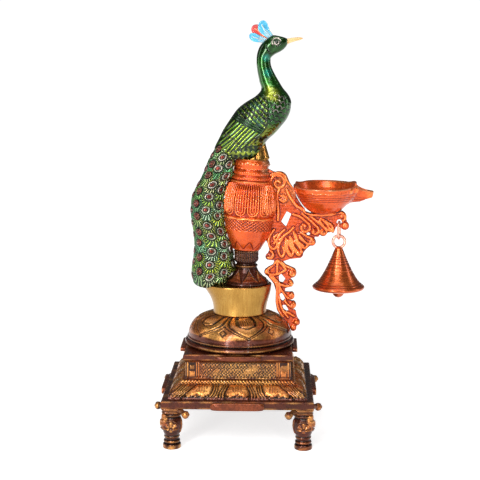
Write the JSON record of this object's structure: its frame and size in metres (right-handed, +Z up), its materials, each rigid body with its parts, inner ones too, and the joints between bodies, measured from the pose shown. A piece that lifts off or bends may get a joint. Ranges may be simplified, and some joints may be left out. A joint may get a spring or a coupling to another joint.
{
  "type": "standing oil lamp",
  "caption": "Cast brass peacock oil lamp: square four-legged plinth, lotus dome, leaning vase, scroll bracket with an oil bowl and a hanging bell.",
  "frame": {"origin": "on the floor plane, at the centre of the four round feet, which is the axis of the plinth, dome and collar", "axes": "+Z up, +X towards the oil bowl and bell, -Y the front"},
  "size_m": [0.1873, 0.1432, 0.357],
  "materials": {
    "antique_copper": "dark brown lacquer rubbed back to copper on the raised work",
    "brass": "satin bare brass",
    "copper_lacquer": "glossy orange copper lacquer over brass",
    "green_lacquer": "glossy transparent green lacquer over brass",
    "crest_lacquer": "blue and red lacquer over brass",
    "steel": "plain"
  },
  "bodies": {
    "lamp": {"plinth": "antique_copper", "leg_front_left": "antique_copper", "leg_front_right": "antique_copper", "leg_back_left": "antique_copper", "leg_back_right": "antique_copper", "lotus_dome": "antique_copper", "brass_collar": "brass", "stem": "antique_copper", "vase": "copper_lacquer", "perch": "brass", "peacock_body": "green_lacquer", "peacock_tail": "green_lacquer", "crest": "crest_lacquer", "bracket": "copper_lacquer", "bowl": "copper_lacquer", "bowl_screw": "copper_lacquer", "tie_rod": "steel", "tie_washer": "steel", "tie_nut": "steel"},
    "link": {"link": "copper_lacquer"},
    "bell": {"bell": "copper_lacquer", "bell_ring": "copper_lacquer", "clapper_staple": "steel"},
    "clapper": {"clapper": "copper_lacquer"}
  },
  "joints": [
    {"name": "link_swing", "type": "hinge", "parent": "lamp", "child": "link", "pos_m": [0.0865, 0, 0.1854], "axis": [0, -1, 0], "range_deg": [-10, 45]},
    {"name": "bell_swing", "type": "hinge", "parent": "link", "child": "bell", "pos_m": [0.0865, 0, 0.1732], "axis": [1, 0, 0], "range_deg": [-40, 40]},
    {"name": "clapper_swing", "type": "hinge", "parent": "bell", "child": "clapper", "pos_m": [0.0865, 0, 0.1525], "axis": [0, -1, 0], "range_deg": [-26, 26]}
  ]
}
